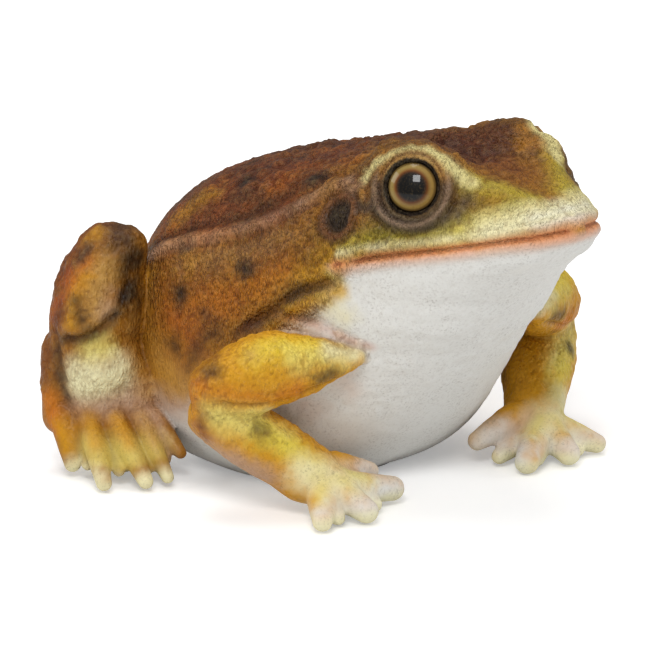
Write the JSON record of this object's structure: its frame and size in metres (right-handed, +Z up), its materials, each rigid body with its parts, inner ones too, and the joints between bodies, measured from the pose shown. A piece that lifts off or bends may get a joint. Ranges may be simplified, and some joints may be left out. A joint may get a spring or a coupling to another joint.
{
  "type": "garden frog figurine",
  "caption": "Seated hand-painted cast-resin frog ornament with domed eyes, jointed-on limbs, webbed feet and a closing plate underneath.",
  "frame": {"origin": "on the ground plane under the middle of the frog's bounding box", "axes": "+Z up, -Y towards the nose, +X towards the frog's left"},
  "size_m": [0.2864, 0.2859, 0.2005],
  "materials": {
    "body_resin": "satin-varnished hand-painted cast resin, orange-brown with an off-white throat and belly",
    "plate_resin": "plain unpainted off-white resin",
    "eye_gloss": "glossy tan-olive iris with a dark pupil under clear lacquer",
    "limb_resin": "satin-varnished cast resin painted orange-yellow, fading to pale fingertips",
    "haunch_resin": "satin-varnished cast resin, mottled brown and ochre over yellow toes"
  },
  "bodies": {
    "root": {"trunk_shell": "body_resin", "base_plate": "plate_resin", "eye_left": "eye_gloss", "eye_right": "eye_gloss", "foreleg_left": "limb_resin", "foreleg_right": "limb_resin", "hind_leg_left": "haunch_resin", "hind_leg_right": "haunch_resin"}
  },
  "joints": []
}
